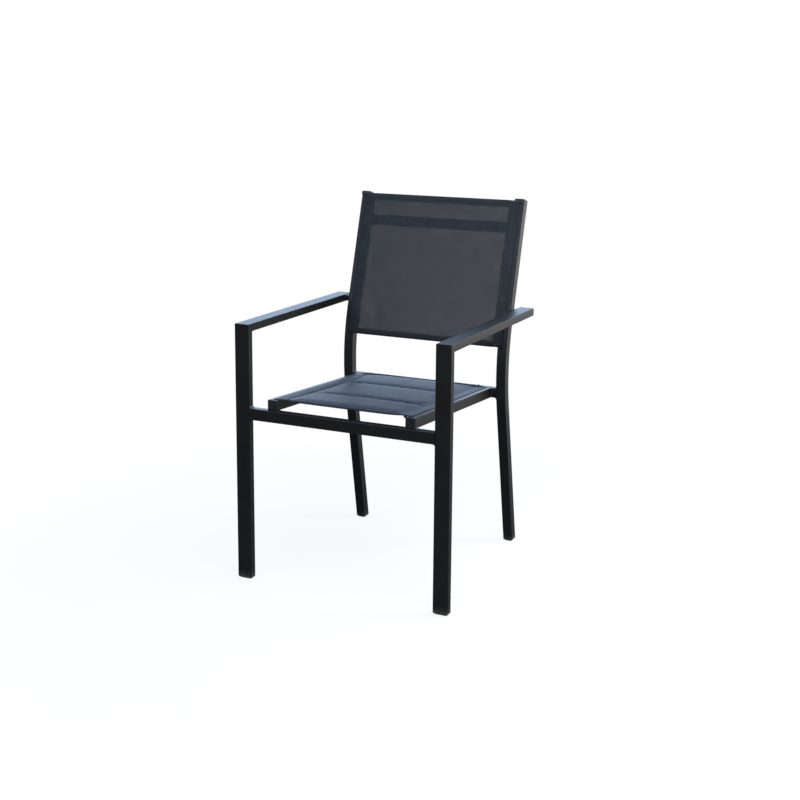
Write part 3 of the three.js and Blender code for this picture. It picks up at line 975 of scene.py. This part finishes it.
def makeSeatPad():
    s, h = seatSettings, hemSettings
    half = railSettings["slotX"] - h["width"]
    rows = seatRows()
    crowded, even = s["spread"]
    side = s["columns"] // 2
    across = [
        crowded * math.sin(math.pi / 2 * k / side) + even * k / side
        for k in range(-side, side + 1)
    ]
    points = []
    skin = h["thickness"] / 2
    layers = (
        (h["face"] + skin, s["crown"], s["step"], s["hemTop"]),
        (h["under"] - skin, -s["belly"], -s["step"], [-hem for hem in s["hemUnder"]]),
    )
    for base, swell, step, hems in layers:
        for run in rows:
            points += [
                seatPlace(s["front"] + run, x * half, base + padLevel(x, run, swell, step, hems))
                for x in across
            ]
    width, height = len(across), len(rows)
    size = width * height
    faces = gridFaces(width, height)
    faces += [tuple(i + size for i in reversed(quad)) for quad in faces]
    rim = list(range(width)) + [r * width + width - 1 for r in range(1, height)]
    rim += [(height - 1) * width + c for c in range(width - 2, -1, -1)]
    rim += [r * width for r in range(height - 2, 0, -1)]
    for a, b in zip(rim, rim[1:] + rim[:1]):
        faces.append((b, a, a + size, b + size))
    mesh = meshOf("seat_sling_pad", points, faces)
    piece = addPiece("seat_sling_pad", mesh, seatFabric)
    puffPad(piece, across, rows)
    addBands(mesh, half)
    makeSmooth(mesh)
    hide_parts("seat_sling")
    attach(piece, "root")


clothSettings = {
    "quality": 6,
    "tension_stiffness": 15.0,
    "compression_stiffness": 10.0,
    "shear_stiffness": 5.0,
    "bending_stiffness": 0.5,
    "use_pressure": True,
    "uniform_pressure_force": 4.0,
    "vertex_group_mass": "held",
    "shrink_min": -0.012,  # it grows a little
}
clothFrames = 20


# The stuffing pushes the cloth out between its seams
def puffPad(piece, across, rows):
    s = seatSettings
    seams = seatSeams()
    group = piece.vertex_groups.new(name="held")
    width, size = len(across), len(across) * len(rows)
    for index in range(2 * size):
        run, x = rows[index % size // width], across[index % size % width]
        near = min(abs(run - seam) for seam in seams)
        outside = run < seams[0] or run > seams[-1]
        if near < s["held"] or outside or abs(x) > s["heldSide"]:
            group.add([index], 1.0, "REPLACE")
    before = [v.co.copy() for v in piece.data.vertices]
    cloth = piece.modifiers.new("cloth", "CLOTH")
    for key, value in clothSettings.items():
        setattr(cloth.settings, key, value)
    cloth.settings.effector_weights.gravity = 0
    for step in range(1, clothFrames + 1):
        scene.frame_set(step)
    shaped = bpy.data.meshes.new_from_object(
        piece.evaluated_get(bpy.context.evaluated_depsgraph_get())
    )
    moves = []
    for vertex, old in zip(shaped.vertices, before):
        move = vertex.co - old
        moves.append(move.length)
        if move.length > s["most"]:
            move *= s["most"] / move.length
        beside = 1 - abs(across[vertex.index % width])
        piece.data.vertices[vertex.index].co = old + move * min(1.0, beside / s["calm"])
    piece.modifiers.remove(cloth)
    bpy.data.meshes.remove(shaped)
    scene.frame_set(1)
    print("seat padded, the cloth wanted to move", round(max(moves) * 1000, 2), "mm")


bandSettings = {
    "line": (-0.0004, 0.009, 0.018),  # metres out from the edge of the pad, before the slot
    "rows": 40,
}


# Flat bands beside the padding: over the rail, round the rod in its slot and back
def addBands(mesh, half):
    s, h, b = seatSettings, hemSettings, bandSettings
    line = [(half + out, h["face"]) for out in b["line"]] + hemOutline(railSettings["slotX"])
    loop = ribbonLoop(line, h["thickness"])
    work = bmesh.new()
    work.from_mesh(mesh)
    for side in (-1, 1):
        made = []
        for r in range(b["rows"] + 1):
            depth = s["front"] + (s["rear"] - s["front"]) * r / b["rows"]
            made += [work.verts.new(seatPlace(depth, side * x, z)) for x, z in loop]
        for face in ribbonFaces(len(loop), b["rows"] + 1):
            corners = [made[i] for i in face]
            work.faces.new(corners if side > 0 else corners[::-1])
    addFoldEnds(work, half)
    addTails(work)
    bmesh.ops.recalc_face_normals(work, faces=work.faces[:])
    work.to_mesh(mesh)
    work.free()


foldEndSettings = {
    "from": 0.93,  # share of the pad's half width
    "short": 0.0008,  # metres from the slot
    "steps": 12,
    "turns": 10,
    "flatter": 0.75,  # share of the height lost at the slot
    "under": 0.0002,
}


# The folded front and rear edges go on over the bands, and flatten toward the slots
def addFoldEnds(work, half):
    s, h, f = seatSettings, hemSettings, foldEndSettings
    near, far = half * f["from"], railSettings["slotX"] - f["short"]
    turns = [math.pi * t / f["turns"] for t in range(f["turns"] + 1)]
    count = 2 * f["turns"]
    folds = (
        (0.0, s["frontHem"], s["hemTop"][0]),
        (s["rear"] - s["front"], -s["rearHem"], s["hemTop"][1]),
    )
    for start, width, height in folds:
        for side in (-1, 1):
            made = []
            for k in range(f["steps"] + 1):
                share = k / f["steps"]
                x = near + (far - near) * share
                tall = height * (1 - f["flatter"] * share ** 1.3)
                tall = tall * min(1.0, math.sqrt(1.02 - share) * 2)
                ring = [(turn, h["face"] + tall * math.sin(turn)) for turn in turns]
                ring += [(turn, h["face"] - f["under"]) for turn in turns[-2:0:-1]]
                for turn, level in ring:
                    run = start + width * (1 - math.cos(turn)) / 2
                    made.append(work.verts.new(seatPlace(s["front"] + run, side * x, level)))
            for face in tubeFaces(count, f["steps"] + 1):
                work.faces.new([made[i] for i in face])
            work.faces.new(made[count - 1::-1])
            work.faces.new(made[-count:])


tailSettings = {
    "front": {
        "x": (0.1570, 0.1662), "run": 0.003, "reach": -0.0030, "drop": -0.0046, "base": 0.0003,
    },
    "rear": {
        "x": (0.1560, 0.1610), "run": 0.4440, "reach": 0.0020, "drop": 0.0030, "base": 0.0030,
    },
}
tailShape = {"points": 6, "rows": 8, "turn": 1.4, "fall": 1.6, "curl": (0.75, 0.25, 0.15)}


# Corners of the turned-back cloth that stick out a little beside the right rail
def addTails(work):
    f = tailShape
    least, swell, lean = f["curl"]
    for s in tailSettings.values():
        line = []
        for k in range(f["points"] + 1):
            share = k / f["points"]
            run = s["run"] + s["reach"] * math.sin(share * f["turn"])
            line.append((run, s["base"] + s["drop"] * share ** f["fall"]))
        loop = ribbonLoop(line, hemSettings["thickness"])
        made = []
        for k in range(f["rows"] + 1):
            share = k / f["rows"]
            x = s["x"][0] + (s["x"][1] - s["x"][0]) * share
            curl = least + swell * math.sin(math.pi * share) + lean * share
            for run, level in loop:
                depth = seatSettings["front"] + s["run"] + (run - s["run"]) * curl
                rise = s["base"] + (level - s["base"]) * curl
                made.append(work.verts.new(seatPlace(depth, x, rise)))
        for face in ribbonFaces(len(loop), f["rows"] + 1):
            work.faces.new([made[i] for i in face])


makeSeatPad()
print("seat sling made")


# Stitches: short lengths of thread that lie on the cloth and dip into it at both ends

stitchSettings = {
    "pitch": 0.0034,
    "length": 0.0029,
    "radius": 0.00024,
    "rise": 0.0002,
    "dip": 0.0003,
    "rings": ((0.0, 0.55), (0.16, 1.0), (0.5, 1.06), (0.84, 1.0), (1.0, 0.55)),
    "fromEnds": 0.003,  # where the rows beside the slots start and end
    "fromSides": 0.001,  # and those across the sling
    "backRows": (0.0022, 0.0062),  # metres out from the edge of the doubled cloth
    "seatRows": (0.0018, 0.0058),
    "fromHem": 0.003,
    "boxDown": (0.010, 0.026),  # a box of stitches holds each top corner of the back
    "boxOut": (0.0095, 0.0245),
    "boxTwin": 0.0010,  # metres between its two rows
    "sizes": {"box": 1.5, "seam": 0.7, "band": 0.6},  # of their thread
}


def addThread(points, faces, start, end, normal, size=1.0):
    s = stitchSettings
    along = end - start
    side = along.cross(normal).normalized()
    first = len(points)
    for share, wide in s["rings"]:
        lift = s["rise"] * size - (s["rise"] * size + s["dip"]) * (2 * share - 1) ** 4
        centre = start + along * share + normal * lift
        radius = s["radius"] * size * wide
        points += [centre + side * radius, centre + normal * radius]
        points += [centre - side * radius, centre - normal * radius]
    faces += tubeFaces(4, len(s["rings"]), first)
    last = len(points) - 4
    faces += [(first + 3, first + 2, first + 1, first), (last, last + 1, last + 2, last + 3)]


# A row of stitches along placeAt(distance), which gives a point and the cloth's normal there
def stitchRow(points, faces, placeAt, start, end, size=1.0):
    s = stitchSettings
    count = round((end - start) / s["pitch"])
    step = (end - start) / count
    share = s["length"] / s["pitch"]
    for k in range(count):
        a, normal = placeAt(start + step * k)
        b, _ = placeAt(start + step * (k + share))
        addThread(points, faces, a, b, normal, size)


def stitchPiece(name, points, faces, material):
    piece = addPiece(name, meshOf(name, points, faces), material)
    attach(piece, "root")
    return piece


def stitchBack():
    s, h, t = backSettings, hemSettings, stitchSettings
    points, faces = [], []
    skin = h["thickness"] / 2
    half = postSettings["slotX"] - h["width"]

    def normalAt(distance, facing):
        there = postPlace(distance, 0, 0.001) - postPlace(distance, 0, 0)
        return there.normalized() * facing

    def down(x, level, facing, low, high, size=1.0):
        def placeAt(distance):
            return postPlace(distance, x, level), normalAt(distance, facing)
        stitchRow(points, faces, placeAt, low, high, size)

    def over(distance, level, facing, near, far, size=1.0, side=1):
        def placeAt(x):
            return postPlace(distance, side * x, level), normalAt(distance, facing)
        stitchRow(points, faces, placeAt, near, far, size)

    top, bottom = s["top"] + t["fromEnds"], s["bottom"] - t["fromEnds"]
    hems = (s["top"] + s["topHem"] - t["fromHem"], s["bottom"] - s["bottomHem"] + t["fromHem"])
    for facing, level in ((1, h["face"] + skin), (-1, h["under"] - skin)):
        for out in t["backRows"]:
            for side in (-1, 1):
                down(side * (half + out), level, facing, top, bottom)
        for distance in hems:
            over(distance, level, facing, -half + t["fromSides"], half - t["fromSides"])
    low, high = (s["top"] + drop for drop in t["boxDown"])
    near, far = (half + out for out in t["boxOut"])
    level, twin, size = h["face"] + skin, t["boxTwin"], t["sizes"]["box"]
    for side in (-1, 1):
        for distance in (low, low + twin, high, high + twin):
            over(distance, level, 1, near, far, size, side)
        for x in (near, near + twin, far, far + twin):
            down(side * x, level, 1, low, high, size)
    return stitchPiece("back_sling_stitching", points, faces, darkThread)


def stitchSeat():
    s, h, t = seatSettings, hemSettings, stitchSettings
    points, faces = [], []
    skin = h["thickness"] / 2
    half = railSettings["slotX"] - h["width"]
    side = half - t["fromSides"]
    front, rear = s["front"] + t["fromEnds"], s["rear"] - t["fromEnds"]
    up = (railPlace(0.1, 0, 0.001) - railPlace(0.1, 0, 0)).normalized()
    for facing, level in ((1, h["face"] + skin), (-1, h["under"] - skin)):
        for seam in seatSeams():
            stitchRow(
                points, faces, lambda x: (seatPlace(s["front"] + seam, x, level), up * facing),
                -side, side, t["sizes"]["seam"],
            )
        for x in [way * (half + out) for out in t["seatRows"] for way in (-1, 1)]:
            stitchRow(
                points, faces, lambda y: (seatPlace(y, x, level), up * facing),
                front, rear, t["sizes"]["band"],
            )
    stitchPiece("seat_sling_stitching", points, faces, seatThread)


backStitches = stitchBack()
stitchSeat()
print("stitches made")


# Welds: rippled fillets in the inner corners, coated with the rest

weldSettings = {
    "step": 0.0004,
    "pitch": 0.0022,
    "ripple": 0.07,
    "lag": 0.45,  # share of the pitch by which a ripple's middle runs ahead
    "uneven": 0.10,
    "unevenScale": 160,
    "hollow": 0.6,  # 0 is a flat face, 1 a full hollow
    "turns": 7,
    "taper": 0.0016,
    "thinEnd": 0.45,
    "seat": 0.00045,  # how far the bead reaches into the joint
    "clear": 0.0012,  # metres from the edges of the joint to the ends of its bead
    "railClear": 0.0062,
    "backBar": (0.0605, 0.0855, -0.004, -0.023),  # its joint down the posts and behind them
}
weldSizes = {
    "crossbarTop": 0.0056, "crossbarBottom": 0.0048, "armrest": 0.0055,
    "railSide": 0.0034, "railBehind": 0.0038, "rearBarTop": 0.0042, "rearBarBottom": 0.0046,
    "rearBarBehind": 0.0036, "backBar": 0.0038, "backBarBehind": 0.0019,
    "spacer": 0.0026, "spacerTop": 0.0018,
}


def weldBead(points, faces, start, end, first, second, size):
    s = weldSettings
    length = (end - start).length
    count = max(6, round(length / s["step"]))
    turns = s["turns"]
    base = len(points)
    for r in range(count + 1):
        run = length * r / count
        centre = start + (end - start) * (r / count)
        edge = min(1.0, min(run, length - run) / s["taper"])
        fade = s["thinEnd"] + (1 - s["thinEnd"]) * math.sqrt(edge * (2 - edge))
        points.append(centre - (first + second) * s["seat"])
        for k in range(turns):
            t = k / (turns - 1)
            moon = 1 - (2 * t - 1) ** 2
            wave = math.cos(math.tau * (run / s["pitch"] + s["lag"] * moon))
            wobble = noise.noise((centre + first * t) * s["unevenScale"])
            scale = size * fade * (1 + s["ripple"] * wave * moon + s["uneven"] * wobble)
            angle = math.pi / 2 * t
            hollow = (1 - math.sin(angle), 1 - math.cos(angle))
            flat = (1 - t, t)
            a, b = (s["hollow"] * u + (1 - s["hollow"]) * v for u, v in zip(hollow, flat))
            points.append(centre + first * (a * scale) + second * (b * scale))
    ring = turns + 1
    tail = base + count * ring
    made = tubeFaces(ring, count + 1, base)
    made += [tuple(range(base + ring - 1, base - 1, -1)), tuple(range(tail, tail + ring))]
    outward = first.cross(second).dot(end - start) > 0
    faces += made if outward else [face[::-1] for face in made]


def weldPiece(name, beads):
    points, faces = [], []
    for start, end, first, second, size in beads:
        weldBead(points, faces, Vector(start), Vector(end), Vector(first), Vector(second), size)
    piece = addPiece(name, meshOf(name, points, faces), weldCoat)
    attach(piece, "root")


# A bead that runs from front to rear, and one that runs up
def deep(x, z, ends, first, second, size):
    return (x, ends[0], z), (x, ends[1], z), first, second, size


def upright(x, y, ends, first, second, size):
    return (x, y, ends[0]), (x, y, ends[1]), first, second, size


def makeWelds():
    s, size = weldSettings, weldSizes
    edge = s["clear"]
    up, down, ahead, astern = (0, 0, 1), (0, 0, -1), (0, -1, 0), (0, 1, 0)
    barLow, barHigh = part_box("front_crossbar")
    rearLow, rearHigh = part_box("rear_crossbar")
    for side, sign in (("left", -1), ("right", 1)):
        inward, out = (-sign, 0, 0), (sign, 0, 0)
        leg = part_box("front_leg_" + side)
        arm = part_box("armrest_" + side)
        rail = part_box("seat_rail_" + side)
        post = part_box("back_post_" + side)
        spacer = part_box("arm_spacer_" + side)
        inner, outer = (1, 0) if sign < 0 else (0, 1)  # which corner of a box faces the middle
        legX, armX, postX, postOut = leg[inner].x, arm[inner].x, post[inner].x, post[outer].x

        ends = (leg[0].y + edge, leg[1].y - edge)
        weldPiece("weld_front_crossbar_" + side, [
            deep(legX, barHigh.z, ends, up, inward, size["crossbarTop"]),
            deep(legX, barLow.z, ends, down, inward, size["crossbarBottom"]),
        ])
        y, z = leg[1].y, arm[0].z
        weldPiece("weld_armrest_" + side, [
            ((leg[0].x + edge, y, z), (leg[1].x - edge, y, z), down, astern, size["armrest"]),
        ])
        sides = ((rail[0].x, (-1, 0, 0)), (rail[1].x, (1, 0, 0)))
        ends = (barLow.y + s["railClear"], barHigh.y - edge)
        beads = [deep(x, barHigh.z, ends, up, away, size["railSide"]) for x, away in sides]
        y, z = barHigh.y, barHigh.z
        beads.append((
            (rail[0].x + edge, y, z), (rail[1].x - edge, y, z), down, astern, size["railBehind"],
        ))
        weldPiece("weld_seat_rail_front_" + side, beads)
        heights = (rearLow.z + edge, rearHigh.z - edge)
        weldPiece("weld_seat_rail_rear_" + side, [
            upright(x, rearLow.y, heights, ahead, away, size["railSide"]) for x, away in sides
        ])
        ends = (rearLow.y + edge, rearHigh.y - edge)
        weldPiece("weld_rear_crossbar_" + side, [
            deep(postX, rearHigh.z, ends, up, inward, size["rearBarTop"]),
            deep(postX, rearLow.z, ends, down, inward, size["rearBarBottom"]),
            upright(postX, rearHigh.y, heights, astern, inward, size["rearBarBehind"]),
        ])
        lean = postSettings["recline"]
        rise, depth = upwardAt(lean), outwardAt(lean)
        top, bottom, near, far = s["backBar"]
        beads = [
            (postPlace(run, postX, near - edge), postPlace(run, postX, far + edge), way, inward,
             size["backBar"])
            for run, way in ((top, rise), (bottom, -rise))
        ]
        beads.append((
            postPlace(top + edge, postX, far), postPlace(bottom - edge, postX, far), -depth,
            inward, size["backBarBehind"],
        ))
        weldPiece("weld_back_crossbar_" + side, beads)
        ends = (spacer[0].y + edge, spacer[1].y - edge)
        heights = (spacer[0].z + edge, spacer[1].z - edge)
        weldPiece("weld_arm_spacer_" + side, [
            deep(postOut, spacer[1].z, ends, up, out, size["spacer"]),
            deep(postOut, spacer[0].z, ends, down, out, size["spacer"]),
            upright(postOut, spacer[0].y, heights, ahead, out, size["spacer"]),
            deep(armX, spacer[1].z, ends, up, inward, size["spacerTop"]),
            upright(armX, spacer[0].y, heights, ahead, inward, size["spacer"]),
            upright(armX, spacer[1].y, heights, astern, inward, size["spacer"]),
        ])


makeWelds()
print("welds made")
